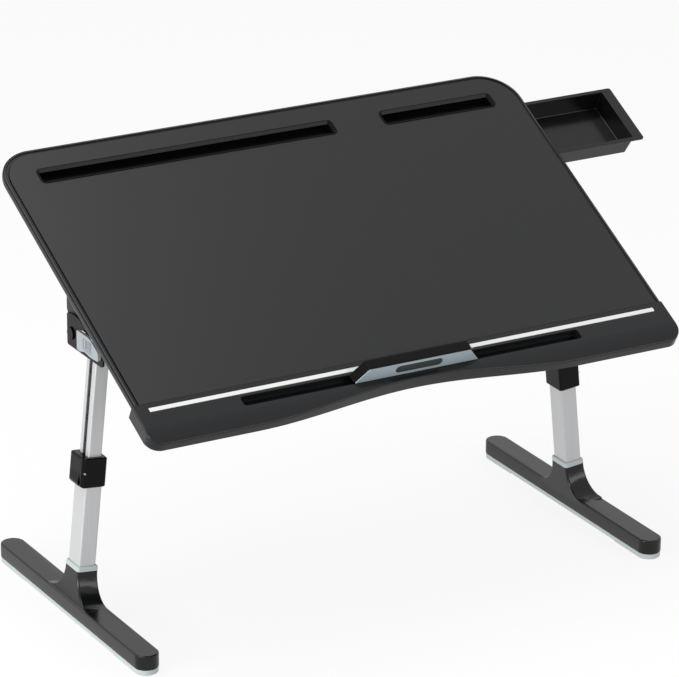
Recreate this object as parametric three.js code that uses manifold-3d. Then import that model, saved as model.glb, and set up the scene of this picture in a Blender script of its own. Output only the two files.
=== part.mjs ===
// Laptop stand with a drawer: a tilting desktop on two folding legs whose height steps.
// Millimetres, +Z up, +X to the right, +Y to the back.

import * as THREE from 'three';
import { mergeVertices } from 'three/addons/utils/BufferGeometryUtils.js';
import Module from 'manifold-3d';

const wasm = await Module();
wasm.setup();

// Clearances
const GAP = 0.3; // between two pieces that are fixed together
const RUNNING = 0.08; // radial, between a shaft and the bore that turns on it
const GUIDE = 0.4; // between a sliding piece and its guide
const CUT = 2; // how far a cutting shape runs past the face that it opens
const MERGE = 1e-4; // corners nearer than this are one corner

// Stance
const TILT_DEG = 27;
const SPLAY_DEG = 5.72;

// Desktop, drawn flat: y runs up the slope from the strip, z is square to the top face
const DESK = { halfWidth: 351, rearY: 423.5, cornerRadius: 48, frontY: 13, boardThickness: 8.6 };

// Edge moulding: its section in shares of its width, inwards, and of its depth, downwards
const TRIM = { width: 7.4, depth: 9.5 };
const TRIM_SHARES = [
  [1, 1], [0.43, 1], [0.22, 0.94], [0.08, 0.76], [0, 0.25], [0.04, 0.12], [0.14, 0.06], [0.27, 0.06],
  [0.34, 0.01], [0.39, -0.04], [0.51, -0.06], [0.62, -0.04], [0.68, 0.01], [0.7, 0.17], [1, 0.17],
];

// Palm rest along the front edge
const REST = {
  overhang: 1.6, // past the desktop's side
  reach: 44, // in front of the strip
  depth: 18,
  cornerRadius: 17,
  hollowDepth: 16.5,
  hollowHalfWidth: 215,
  crownReach: 24,
  crownDrop: 6,
  footChamfer: 1.6,
  wall: 2.2,
};
const REST_LEDGE = { sideInset: 5.6, reach: 21, thickness: 4.2 };
const REST_POCKET = { count: 8, rib: 4 };
const GROOVE = {
  halfLength: 224.5,
  rearY: -3.5,
  width: 14.5,
  ledge: 2.5,
  ledgeDepth: 8.5,
  depth: 12,
  endRadius: 4,
};
const STRIP = { sideInset: 15.8, lowY: 0.3, width: 5.5, endRadius: 0.8, proud: 0.5, sunk: 0.9 };

// Device stop that stands in the groove
const STOP = {
  baseHalf: 83.4,
  topHalf: 67.6,
  height: 19.9,
  plateThickness: 1.6,
  plateMargin: 1.9,
  footInset: 5.5,
  padLength: 61,
  padHeight: 10,
  padRoundShare: 0.96, // of half its height, at each end
  padProud: 0.4,
};

// Blind slots for a tablet and a phone
const SLOT = {
  rearInset: 32.9,
  width: 24.3,
  cornerRadius: 6,
  between: 65.5, // from the tablet's slot to the phone's
  lipOverhang: 1.2,
  lipThickness: 0.9,
  lipProud: 0.7,
  rimInset: 1.4,
  bevelInset: 4.2,
  bevelDepth: 2.6,
  floorInset: 4.7,
  cavityDepth: 11,
  floor: 1.5,
};
const TABLET_SLOT = { sideInset: 43.5 };
const PHONE_SLOT = { length: 158, sideInset: 39.5 };

// Drawer, drawn at the pulled-out place it has in the picture
const DRAWER = {
  length: 250,
  width: 92.3,
  rearInset: 46.1,
  proud: 1, // past the desktop's side when it is shut
  pulledOut: 134,
  headroom: 1.5,
  rimThickness: 3,
  rimWidth: 4.9,
  endFlange: 14,
  rimRadius: 3,
  cavityRadius: 2.5,
  cavityDepth: 25,
  wall: 1.8,
  floor: 2,
  draft: 2.5,
};
const RUNNER = {
  web: 2.8,
  lipThickness: 2.2,
  lipPlay: 1,
  flangeReach: 12,
  endMargin: 2,
  sideInset: 1.6,
  padReach: 14,
  padMargin: 5.5,
};

// Side bracket under the desktop, drawn in the desktop's own flat frame
const FLANGE = { ahead: 26, behind: 84, thickness: 3.5 }; // measured from the tilt pin
const EAR = { thickness: 3.2, hubRadius: 12, footClearance: 2.6 };
const EAR_SHARES = [ // along the flange, down the ear, and fillet, the last two of the ear's depth
  [0, 0, 0.03], [1, 0, 0.03], [1, 0.186, 0.085], [0.918, 0.63, 0.085], [0.814, 0.95, 0.042],
  [0.764, 1, 0.042], [0.52, 1, 0.085], [0.5, 0.6, 0.14], [0.4, 0.561, 0.085], [0.236, 0.497, 0],
  [0.109, 0.412, 0], [0.027, 0.186, 0.085],
];
const EAR_WEB = { rearInset: 29, thickness: 3.2, depth: 41 };
const SCREW = { shank: 2, head: 4.2, headHeight: 2.4, bite: 5.2, frontInset: 48, rearInset: 12 };

// Tilt hinge: a pin through bracket and head, and a toothed disc with one tooth each 9 degrees
const TILT_PIN = { radius: 4, headRadius: 6.5, headHeight: 1.5 };
const HUB = { runnerGap: 14.8, clearance: 3.2 }; // from flange to drawer runner, and from disc to flange
const RATCHET = { teeth: 40, tipRadius: 19, toothDepth: 1.8, thickness: 2.2 };

// Leg head, drawn upright; its outline is in shares of its length and of its height to the tilt pin
const HEAD = {
  sideInset: 42.86, // from the desktop's side to the head's middle
  width: 26,
  wall: 2.6,
  ahead: 22.5, // ahead of the tilt pin
  behind: 69.5,
  belowHinge: 15.5,
  hingeCover: 10.95,
  pinSetback: 12, // of the tilt pin, ahead of the leg's axis
  hubRadius: 13.5,
  blockHalfY: 15,
  floor: 2,
  floorRearInset: 2.5,
};
const HEAD_SHARES = [ // along, up, and fillet as a share of the height
  [0, 0, 0.1], [1, 0, 0.06], [1, 0.79, 0.06], [0.84, 0.83, 0.1], [0.68, 0.83, 0.1], [0.52, 0.72, 0.1],
  [0.45, 0.76, 0.06], [0.375, 1, 0], [0.114, 1, 0], [0, 0.616, 0.16],
];
const BOSS = { rearInset: 11, rise: 16.5, radius: 7.7, height: 1.7, stem: 3 };

// Tilt button: a ribbed plate in a window of the head, with a bar that carries the pawl tooth
const BUTTON = { ahead: 19, length: 55, height: 24, thickness: 3.9, window: 0.5, cover: 0.3 };
const BUTTON_SHARES = [ // along, up, and fillet as a share of the height
  [1, 0, 0.1], [1, 1, 0.1], [0.418, 1, 0.25], [0, 0.5625, 0.17], [0, 0.104, 0.125], [0.345, 0.054, 0.25],
  [0.655, 0.146, 0.25], [0.836, 0, 0.17],
];
const BUTTON_RECESS = { front: 15, rear: 16, low: 5.5, high: 3.5, depth: 0.9, radius: 4 };
const BUTTON_RIB = { count: 5, pitch: 3.4, width: 1.5, margin: 2 };
const PAWL = { halfWidth: 3, bar: 1.9, tooth: 1.4, reach: 3.2 };

// Fold hinge at the top of each leg
const FOLD_PIN = { radius: 3, overhang: 0.5 };
const KNUCKLE = { radius: 8, neckHalfX: 7, neck: 14.1, plugLength: 21.6 };
const POCKET = { clearance: 0.6, ceilingDrop: 2.05, inwardRise: 3.6 };

// Lower tube, and the foot that it stands in
const LOWER = { halfX: 11, halfY: 14.5, wall: 1, radius: 2.6, length: 162 };
const FOOT = {
  halfWidth: 15,
  halfLength: 191.7,
  thickness: 17.7,
  shoulder: 2,
  edgeInset: 1.6,
  edgeDrop: 0.7,
  edgeStep: 0.4,
  lowRise: 1.2,
  lowInset: 0.6,
};
const TOWER = {
  wall: 1.9,
  rise: 35.8,
  radius: 2.6,
  flare: 34, // along the bar
  spread: 3.4, // towards the bar's sides
  sunk: 0.2,
  root: 7.2,
  socketFloor: 0.5,
  steps: 8,
};
const RING = { wall: 2.2, height: 5.8, radius: 3.4, edge: 0.9 };
const SOLE = { inset: 0.7, thickness: 6.5, archHalfLength: 122, archHeight: 1.7 };

// Upper tube, which slides in the lower one, with a channel down its outer face for the index strip
const UPPER = { wall: 1.2, radius: 2, length: 167.6, insertion: 34 };
const SLIDER = { wall: 0.6, length: 13.6, endInset: 0.4 };
const CHANNEL = { halfY: 4, depth: 2.2 };
const INDEX = { thickness: 0.9, endInset: 1 };
const INDEX_HOLE = { topInset: 16.9, count: 5, halfY: 2.3, halfL: 3, radius: 1.6 };

// Height clamp around the top of the lower tube, with its rocking latch and locking pin
const COLLAR = {
  wall: 2.5,
  latchWall: 5.9,
  length: 36.6,
  grip: 22.3,
  radius: 3,
  edge: 1.2,
  bevelX: 2.9,
  bevelY: 4.8,
  bevelRadius: 1,
};
const LATCH = {
  width: 20,
  offsetY: 2,
  lowInset: 0.9,
  highInset: 2.3,
  pocketDepth: 3.6,
  play: 0.6,
  pivotInset: 0.4,
  wedge: 2.2,
  tab: 1.9,
  tabRise: 3.4,
  tabRadius: 1.2,
  waistRadius: 3,
  topRadius: 1,
  hub: 1.9,
  pin: 1.1,
  pinRun: 1.6,
};
const LATCH_PIN = { radius: 2, rise: 8.3, seat: 1.5, lift: 1.2 };

// How finely curves are cut
const FINE = 8; // steps on a quarter turn of a large corner
const SMALL = 3; // steps on a quarter turn of a small corner
const ROUND = 20; // sides of a pin
const SMALL_ROUND = 10; // sides of a small pin
const HOLLOW_STEPS = 24;
const CROWN_STEPS = 5;

// Materials
function material(color, roughness, metalness) {
  return new THREE.MeshStandardMaterial({ color, roughness, metalness });
}
const CHARCOAL = material(0x47484a, 0.55, 0);
const CHARCOAL_GLOSS = material(0x3b3c3e, 0.35, 0);
const BLACK = material(0x1d1e20, 0.5, 0);
const GREY = material(0x808486, 0.5, 0);
const SLATE = material(0x828c91, 0.4, 0);
const PALE_RUBBER = material(0xc2cacb, 0.8, 0);
const WHITE_RUBBER = material(0xf0f1f0, 0.7, 0);
const ALUMINIUM = material(0xc9cacb, 0.35, 0.9);
const STEEL = material(0xb4b6b8, 0.3, 1);

const TILT = THREE.MathUtils.degToRad(TILT_DEG);
const SPLAY = THREE.MathUtils.degToRad(SPLAY_DEG);
const QUARTER = Math.PI / 2;

// Heights up the leg, from the foot to the fold hinge
const footLow = SOLE.thickness + GAP;
const footTop = footLow + FOOT.thickness;
const socketFloor = footTop + TOWER.socketFloor;
const lowerLow = socketFloor + GAP;
const lowerHigh = lowerLow + LOWER.length;
const towerTop = footTop + TOWER.rise;
const collarLow = lowerHigh - COLLAR.grip;
const collarHigh = collarLow + COLLAR.length;
const latchLow = collarLow + LATCH.lowInset;
const latchHigh = collarHigh - LATCH.highInset;
const latchPivot = (collarLow + collarHigh) / 2;
const upperLow = lowerHigh - UPPER.insertion;
const upperHigh = upperLow + UPPER.length;
const holeFirst = latchPivot + LATCH_PIN.rise;
const holePitch = (upperHigh - INDEX_HOLE.topInset - holeFirst) / (INDEX_HOLE.count - 1);
const foldHeight = upperHigh + KNUCKLE.neck;

// Half sizes of the upper tube, which clears the lower one by its slider
const tubeClearance = LOWER.wall + GUIDE + SLIDER.wall + GAP;
const UPPER_HALF = { x: LOWER.halfX - tubeClearance, y: LOWER.halfY - tubeClearance };
const collarInner = LOWER.halfX + GAP + COLLAR.wall;
const collarOuter = LOWER.halfX + COLLAR.latchWall;
const collarHalfY = LOWER.halfY + GAP + COLLAR.wall;

// Across the stand, for the right-hand side
const headMiddle = DESK.halfWidth - HEAD.sideInset;
const headInner = headMiddle - HEAD.width / 2;
const headOuter = headMiddle + HEAD.width / 2;
const footCentre = headMiddle + foldHeight * Math.sin(SPLAY);
const earInner = [headInner + HEAD.wall + GAP, headInner + HEAD.wall + GAP + EAR.thickness];
const earOuter = [headOuter - HEAD.wall - GAP - EAR.thickness, headOuter - HEAD.wall - GAP];
const discHigh = earOuter[0] - GAP;
const discLow = discHigh - RATCHET.thickness;

// The tilt pin above the fold hinge, and the desktop around the tilt pin
const foldZ = foldHeight * Math.cos(SPLAY);
const blockTop = foldZ + HEAD.hingeCover;
const pawlLow = blockTop + GAP;
const barTop = pawlLow + PAWL.bar;
const toothTop = barTop + PAWL.tooth;
const pivot = { y: -HEAD.pinSetback, z: toothTop + GUIDE + RATCHET.tipRadius };
const flangeTop = -DESK.boardThickness - GAP;
const flangeLow = flangeTop - FLANGE.thickness;
const drawerRear = DESK.rearY - DRAWER.rearInset;
const drawerFront = drawerRear - DRAWER.width;
const flangeRear = drawerFront - GUIDE - RUNNER.flangeReach - HUB.runnerGap;
const hub = { x: flangeRear - FLANGE.behind, y: flangeLow - RATCHET.tipRadius - HUB.clearance };
const deskFront = {
  y: pivot.y - hub.x * Math.cos(TILT) + hub.y * Math.sin(TILT),
  z: pivot.z - hub.x * Math.sin(TILT) - hub.y * Math.cos(TILT),
};

// Outlines
const point = (x, y) => new THREE.Vector2(x, y);

function arc(cx, cy, radius, from, to, steps) {
  const points = [];
  for (let i = 0; i <= steps; i += 1) {
    const angle = from + ((to - from) * i) / steps;
    points.push(point(cx + radius * Math.cos(angle), cy + radius * Math.sin(angle)));
  }
  return points;
}

function roundedRect(x0, x1, y0, y1, radius, steps) {
  return [
    ...arc(x1 - radius, y0 + radius, radius, -QUARTER, 0, steps),
    ...arc(x1 - radius, y1 - radius, radius, 0, QUARTER, steps),
    ...arc(x0 + radius, y1 - radius, radius, QUARTER, Math.PI, steps),
    ...arc(x0 + radius, y0 + radius, radius, Math.PI, Math.PI + QUARTER, steps),
  ];
}

function circle(cx, cy, radius, sides) {
  return arc(cx, cy, radius, 0, 2 * Math.PI, sides).slice(0, sides);
}

// A polygon given as [x, y, corner radius], each corner rounded by a short curve
function filleted(corners, steps) {
  const points = [];
  corners.forEach(([x, y, radius], i) => {
    const corner = point(x, y);
    if (radius === 0) {
      points.push(corner);
      return;
    }
    const before = corners[(i + corners.length - 1) % corners.length];
    const after = corners[(i + 1) % corners.length];
    const start = corner.clone().add(point(before[0] - x, before[1] - y).setLength(radius));
    const end = corner.clone().add(point(after[0] - x, after[1] - y).setLength(radius));
    points.push(...new THREE.QuadraticBezierCurve(start, corner, end).getPoints(steps));
  });
  return points;
}

// Corners given as shares of a length and a height, measured from one corner of the outline
function fromShares(shares, [x, y], length, height) {
  return shares.map(([along, up, fillet]) => (
    [x + along * length, y + up * height, fillet * Math.abs(height)]));
}

// The same corners moved outwards by one distance
function grown(corners, distance) {
  const turn = Math.sign(THREE.ShapeUtils.area(corners.map(([x, y]) => point(x, y))));
  return corners.map(([x, y, radius], i) => {
    const before = corners[(i + corners.length - 1) % corners.length];
    const after = corners[(i + 1) % corners.length];
    const first = point(y - before[1], before[0] - x).normalize();
    const second = point(after[1] - y, x - after[0]).normalize();
    const scale = (turn * distance) / (1 + first.dot(second));
    return [x + scale * (first.x + second.x), y + scale * (first.y + second.y), radius];
  });
}

// Solids
function toSolid(geometry) {
  const bare = geometry.clone();
  bare.deleteAttribute('normal');
  bare.deleteAttribute('uv');
  const merged = mergeVertices(bare, MERGE);
  return new wasm.Manifold(new wasm.Mesh({
    numProp: 3,
    vertProperties: new Float32Array(merged.attributes.position.array),
    triVerts: new Uint32Array(merged.index.array),
  }));
}

function toGeometry(solid) {
  const mesh = solid.getMesh();
  const geometry = new THREE.BufferGeometry();
  geometry.setAttribute('position', new THREE.BufferAttribute(mesh.vertProperties.slice(), mesh.numProp));
  geometry.setIndex(new THREE.BufferAttribute(mesh.triVerts.slice(), 1));
  geometry.computeVertexNormals();
  return geometry;
}

function extruded(points, depth, holes = []) {
  const outline = THREE.ShapeUtils.isClockWise(points) ? points.toReversed() : points;
  const shape = new THREE.Shape(outline);
  holes.forEach((hole) => shape.holes.push(new THREE.Path(hole)));
  return new THREE.ExtrudeGeometry(shape, { depth, bevelEnabled: false });
}

const AXES = {
  x: new THREE.Matrix4().makeBasis(
    new THREE.Vector3(0, 1, 0), new THREE.Vector3(0, 0, 1), new THREE.Vector3(1, 0, 0)),
  y: new THREE.Matrix4().makeBasis(
    new THREE.Vector3(1, 0, 0), new THREE.Vector3(0, 0, 1), new THREE.Vector3(0, -1, 0)),
};

// Prisms: an outline in (y, z) run along X, in (x, z) along Y, or in (x, y) along Z
function alongX(points, low, high) {
  return toSolid(extruded(points, high - low).applyMatrix4(AXES.x).translate(low, 0, 0));
}

function alongY(points, low, high) {
  return toSolid(extruded(points, high - low).applyMatrix4(AXES.y).translate(0, high, 0));
}

function alongZ(points, low, high, holes) {
  return toSolid(extruded(points, high - low, holes).translate(0, 0, low));
}

function block([x0, x1], [y0, y1], [z0, z1]) {
  const geometry = new THREE.BoxGeometry(x1 - x0, y1 - y0, z1 - z0);
  return toSolid(geometry.translate((x0 + x1) / 2, (y0 + y1) / 2, (z0 + z1) / 2));
}

// A closed skin over a row of matching sections, each a list of 3-D points
function skin(sections, outline) {
  const count = outline.length;
  const positions = sections.flat().flatMap((p) => [p.x, p.y, p.z]);
  const indices = [];
  for (let s = 0; s + 1 < sections.length; s += 1) {
    for (let i = 0; i < count; i += 1) {
      const a = s * count + i;
      const b = s * count + ((i + 1) % count);
      indices.push(a, b, b + count, a, b + count, a + count);
    }
  }
  const last = (sections.length - 1) * count;
  const clockwise = THREE.ShapeUtils.isClockWise(outline);
  THREE.ShapeUtils.triangulateShape(outline, []).forEach((corners) => {
    const [a, b, c] = clockwise ? corners.toReversed() : corners;
    indices.push(c, b, a, last + a, last + b, last + c);
  });
  const geometry = new THREE.BufferGeometry();
  geometry.setAttribute('position', new THREE.Float32BufferAttribute(positions, 3));
  geometry.setIndex(signedVolume(positions, indices) < 0 ? indices.reverse() : indices);
  return toSolid(geometry);
}

function signedVolume(positions, indices) {
  const corner = (i) => new THREE.Vector3().fromArray(positions, 3 * i);
  let total = 0;
  for (let i = 0; i < indices.length; i += 3) {
    total += corner(indices[i]).dot(corner(indices[i + 1]).cross(corner(indices[i + 2])));
  }
  return total;
}

// Outlines stacked along Z, each as [outline, height]
function stack(levels) {
  return skin(
    levels.map(([outline, z]) => outline.map((p) => new THREE.Vector3(p.x, p.y, z))),
    levels[0][0],
  );
}

function rectangle(halfX, halfY, radius) {
  return roundedRect(-halfX, halfX, -halfY, halfY, radius, SMALL);
}

// Desktop board, edge moulding and slot trays
const stand = new THREE.Group();
const slopeTop = new THREE.Group();
slopeTop.position.set(0, deskFront.y, deskFront.z);
slopeTop.rotation.x = TILT;
stand.add(slopeTop);

function place(parent, name, solid, look) {
  const mesh = new THREE.Mesh(toGeometry(solid), look);
  mesh.name = name;
  parent.add(mesh);
  return mesh;
}

const phoneRange = [
  DESK.halfWidth - PHONE_SLOT.sideInset - PHONE_SLOT.length, DESK.halfWidth - PHONE_SLOT.sideInset];
const tabletRange = [TABLET_SLOT.sideInset - DESK.halfWidth, phoneRange[0] - SLOT.between];
const slotRear = DESK.rearY - SLOT.rearInset;
const slotBottom = -SLOT.cavityDepth - SLOT.floor;

function slotOutline([x0, x1], inset) {
  const radius = Math.max(SLOT.cornerRadius - inset, GAP);
  return roundedRect(x0 + inset, x1 - inset, slotRear - SLOT.width + inset, slotRear - inset, radius, SMALL);
}

// The bracket's screws, as places up the slope
const screwYs = [hub.x - FLANGE.ahead + SCREW.frontInset, flangeRear - SCREW.rearInset];

function deskBoard() {
  const inset = TRIM.width + GAP;
  const side = DESK.halfWidth - inset;
  const rear = DESK.rearY - inset;
  const radius = DESK.cornerRadius - inset;
  const front = DESK.frontY + GAP;
  const outline = [
    point(-side, front),
    point(side, front),
    ...arc(side - radius, rear - radius, radius, 0, QUARTER, FINE),
    ...arc(radius - side, rear - radius, radius, QUARTER, Math.PI, FINE),
  ];
  let board = alongZ(outline, -DESK.boardThickness, 0);
  for (const range of [tabletRange, phoneRange]) {
    board = board
      .subtract(alongZ(slotOutline(range, SLOT.lipOverhang - GAP), -DESK.boardThickness - CUT, CUT))
      .subtract(alongZ(slotOutline(range, -GAP), -SLOT.lipThickness - GAP, CUT));
  }
  for (const side of [-1, 1]) {
    for (const y of screwYs) {
      const pilot = circle(side * headMiddle, y, SCREW.shank + GAP, SMALL_ROUND);
      board = board.subtract(alongZ(pilot, -DESK.boardThickness - CUT, flangeTop + SCREW.bite + GAP));
    }
  }
  return board;
}

function edgeTrim() {
  const side = DESK.halfWidth;
  const radius = DESK.cornerRadius;
  const centreX = side - radius;
  const centreY = DESK.rearY - radius;
  const front = DESK.frontY + GAP;
  const stations = [[point(side, front), point(1, 0)]];
  for (const [cx, from] of [[centreX, 0], [-centreX, QUARTER]]) {
    arc(0, 0, 1, from, from + QUARTER, FINE).forEach((outward) => {
      stations.push([point(cx + radius * outward.x, centreY + radius * outward.y), outward]);
    });
  }
  stations.push([point(-side, front), point(-1, 0)]);
  const section = TRIM_SHARES.map(([inwards, down]) => point(inwards * TRIM.width, -down * TRIM.depth));
  const sections = stations.map(([edge, outward]) => section.map(({ x: inset, y: height }) => (
    new THREE.Vector3(edge.x - outward.x * inset, edge.y - outward.y * inset, height))));
  return skin(sections, section);
}

function slotTray(range) {
  const top = SLOT.lipProud;
  const mouth = slotOutline(range, SLOT.rimInset);
  const cavity = stack([
    [slotOutline(range, SLOT.floorInset), -SLOT.cavityDepth],
    [slotOutline(range, SLOT.bevelInset), -SLOT.bevelDepth],
    [mouth, top],
    [mouth, top + CUT],
  ]);
  return alongZ(slotOutline(range, SLOT.lipOverhang), slotBottom, top)
    .add(alongZ(slotOutline(range, 0), -SLOT.lipThickness, top))
    .subtract(cavity);
}

place(slopeTop, 'desktop_panel', deskBoard(), CHARCOAL);
place(slopeTop, 'edge_trim', edgeTrim(), CHARCOAL_GLOSS);
place(slopeTop, 'tablet_slot_tray', slotTray(tabletRange), BLACK);
place(slopeTop, 'phone_slot_tray', slotTray(phoneRange), BLACK);

// Palm rest: a crowned section cut to a plan with a shallow hollow in its front edge
const restFront = -REST.reach;
const restSide = DESK.halfWidth + REST.overhang;
const ledgeSide = DESK.halfWidth - TRIM.width - REST_LEDGE.sideInset;
const grooveFront = GROOVE.rearY - GROOVE.width;
const ledgeY = GROOVE.rearY - GROOVE.ledge;

function hollowEdge(x) {
  const share = Math.min(Math.abs(x) / REST.hollowHalfWidth, 1);
  return restFront + REST.hollowDepth * (1 + Math.cos(Math.PI * share)) / 2;
}

function restPlan() {
  const radius = REST.cornerRadius;
  const plan = [
    point(restSide, DESK.frontY),
    point(-restSide, DESK.frontY),
    ...arc(radius - restSide, restFront + radius, radius, Math.PI, Math.PI + QUARTER, FINE),
  ];
  for (let i = 0; i <= HOLLOW_STEPS; i += 1) {
    const x = REST.hollowHalfWidth * (2 * i / HOLLOW_STEPS - 1);
    plan.push(point(x, hollowEdge(x)));
  }
  return [...plan, ...arc(restSide - radius, restFront + radius, radius, -QUARTER, 0, FINE)];
}

function crownSection() {
  const section = [point(DESK.frontY + CUT, 0)];
  for (let i = 0; i <= CROWN_STEPS; i += 1) {
    const share = i / CROWN_STEPS;
    const y = restFront + REST.crownReach * (1 - share);
    section.push(point(y, -REST.crownDrop * share * share));
  }
  section.push(point(restFront - CUT, -REST.crownDrop - REST.footChamfer));
  section.push(point(restFront - CUT, REST.footChamfer - REST.depth));
  section.push(point(restFront + REST.footChamfer, -REST.depth));
  section.push(point(DESK.frontY + CUT, -REST.depth));
  return section;
}

function grooveOutline(rear) {
  const { halfLength, endRadius } = GROOVE;
  return roundedRect(-halfLength, halfLength, grooveFront, rear, endRadius, SMALL);
}

function stripOutline(grow) {
  const half = DESK.halfWidth - STRIP.sideInset + grow;
  const radius = STRIP.endRadius + grow;
  return roundedRect(-half, half, STRIP.lowY - grow, STRIP.lowY + STRIP.width + grow, radius, SMALL);
}

function palmRest() {
  const ledge = block(
    [-ledgeSide, ledgeSide],
    [DESK.frontY - CUT, DESK.frontY + REST_LEDGE.reach],
    [flangeTop - REST_LEDGE.thickness, flangeTop],
  );
  let rest = alongZ(restPlan(), -REST.depth, CUT)
    .intersect(alongX(crownSection(), -restSide - CUT, restSide + CUT))
    .add(ledge)
    .subtract(alongZ(grooveOutline(GROOVE.rearY), -GROOVE.ledgeDepth, CUT))
    .subtract(alongZ(grooveOutline(ledgeY), -GROOVE.depth, CUT))
    .subtract(alongZ(stripOutline(GAP), -STRIP.sunk - GAP, CUT));
  const pitch = (2 * ledgeSide + REST_POCKET.rib) / REST_POCKET.count;
  for (let i = 0; i < REST_POCKET.count; i += 1) {
    const x = i * pitch - ledgeSide;
    rest = rest.subtract(block(
      [x, x + pitch - REST_POCKET.rib],
      [GROOVE.rearY + REST.wall, DESK.frontY - REST.wall],
      [-REST.depth - CUT, -STRIP.sunk - GAP - REST.wall],
    ));
  }
  return rest;
}

place(slopeTop, 'wrist_rest', palmRest(), CHARCOAL_GLOSS);
place(slopeTop, 'anti_slip_strip', alongZ(stripOutline(0), -STRIP.sunk, STRIP.proud), WHITE_RUBBER);

// Device stop: a wedge-ended block on a foot that slides in the groove, faced with a plate and a pad
const plateRear = grooveFront + STOP.plateThickness;
const stopFront = plateRear + GAP;
const padRear = grooveFront + STOP.plateThickness / 2;
const grooveRear = GROOVE.rearY - GUIDE;

function wedgeEnds(margin, low, high) {
  const slope = (STOP.baseHalf - STOP.topHalf) / STOP.height;
  const halfAt = (z) => STOP.baseHalf - slope * z - margin;
  return [
    point(-halfAt(low), low), point(halfAt(low), low), point(halfAt(high), high), point(-halfAt(high), high)];
}

function padOutline(grow) {
  const halfX = STOP.padLength / 2 + grow;
  const halfZ = STOP.padHeight / 2 + grow;
  const middle = STOP.height / 2;
  return roundedRect(-halfX, halfX, middle - halfZ, middle + halfZ, halfZ * STOP.padRoundShare, FINE);
}

function stopBody() {
  const guideFront = grooveFront + GUIDE;
  const footHalf = STOP.baseHalf - STOP.footInset;
  const foot = [-footHalf, footHalf];
  return alongY(wedgeEnds(0, GAP, STOP.height), stopFront, grooveRear)
    .add(block(foot, [guideFront, grooveRear], [GUIDE - GROOVE.ledgeDepth, -GUIDE]))
    .add(block(foot, [stopFront, grooveRear - GAP], [-CUT, CUT]))
    .add(block(foot, [guideFront, ledgeY - GUIDE], [GUIDE - GROOVE.depth, -GUIDE]));
}

function stopPlate() {
  const outline = wedgeEnds(STOP.plateMargin, GAP, STOP.height - STOP.plateMargin);
  return alongY(outline, grooveFront, plateRear)
    .subtract(alongY(padOutline(GAP), grooveFront - CUT, padRear + GAP));
}

place(slopeTop, 'stopper_body', stopBody(), BLACK);
place(slopeTop, 'stopper_face_plate', stopPlate(), SLATE);
place(slopeTop, 'stopper_pad', alongY(padOutline(0), grooveFront - STOP.padProud, padRear), BLACK);

// Drawer: a tray with a flat rim, and the two runners that carry the rim
const drawerEnd = DESK.halfWidth + DRAWER.proud + DRAWER.pulledOut;
const rimTop = slotBottom - DRAWER.headroom;
const rimLow = rimTop - DRAWER.rimThickness;
const drawerFloor = rimTop - DRAWER.cavityDepth;

function drawerOutline(inset, endInset, radius) {
  return roundedRect(
    drawerEnd - DRAWER.length + inset, drawerEnd - endInset, drawerFront + inset, drawerRear - inset,
    radius, SMALL);
}

function drawerTray() {
  const { rimWidth, endFlange, wall, draft, cavityRadius } = DRAWER;
  const outer = (more) => drawerOutline(rimWidth - wall + more, endFlange - wall + more, cavityRadius + wall);
  const inner = (more) => drawerOutline(rimWidth + more, endFlange + more, cavityRadius);
  return alongZ(drawerOutline(0, 0, DRAWER.rimRadius), rimLow, rimTop)
    .add(stack([[outer(draft), drawerFloor - DRAWER.floor], [outer(0), rimLow + GAP]]))
    .subtract(stack([[inner(draft), drawerFloor], [inner(0), rimTop], [inner(0), rimTop + CUT]]));
}

const run = [
  DESK.halfWidth + DRAWER.proud - DRAWER.length - RUNNER.endMargin,
  DESK.halfWidth - TRIM.width - RUNNER.sideInset,
];
const lipHigh = rimLow - GUIDE;
const lipLow = lipHigh - RUNNER.lipThickness;
const lipReach = DRAWER.rimWidth - DRAWER.wall - RUNNER.lipPlay + GUIDE;

function frontRunner() {
  const edge = drawerFront - GUIDE;
  return block(run, [edge - RUNNER.web, edge], [lipLow, flangeTop])
    .add(block(run, [edge - RUNNER.web, edge + lipReach], [lipLow, lipHigh]))
    .add(block(run, [edge - RUNNER.flangeReach, edge], [flangeTop - RUNNER.web, flangeTop]));
}

function rearRunner() {
  const edge = drawerRear + GUIDE;
  const webTop = slotBottom - GUIDE;
  const pads = [
    [tabletRange[1] + RUNNER.padMargin, phoneRange[0] - RUNNER.padMargin],
    [phoneRange[1] + RUNNER.padMargin, run[1] - RUNNER.padMargin],
  ];
  let runner = block(run, [edge, edge + RUNNER.web], [lipLow, webTop])
    .add(block(run, [edge - lipReach, edge + RUNNER.web], [lipLow, lipHigh]));
  for (const [low, high] of pads) {
    const pad = [Math.max(low, run[0]), high];
    runner = runner.add(block(pad, [edge, edge + RUNNER.padReach], [webTop - RUNNER.web, flangeTop]));
  }
  return runner;
}

place(slopeTop, 'drawer_tray', drawerTray(), CHARCOAL);
place(slopeTop, 'drawer_front_runner', frontRunner(), BLACK);
place(slopeTop, 'drawer_rear_runner', rearRunner(), BLACK);

// The pieces of a side are drawn for the right-hand side, where x grows outwards, and mirrored for the left
function mirrored(mesh) {
  mesh.geometry.scale(-1, 1, 1);
  const index = mesh.geometry.index.array;
  for (let i = 0; i < index.length; i += 3) {
    [index[i], index[i + 1]] = [index[i + 1], index[i]];
  }
  mesh.geometry.computeVertexNormals();
}

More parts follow.
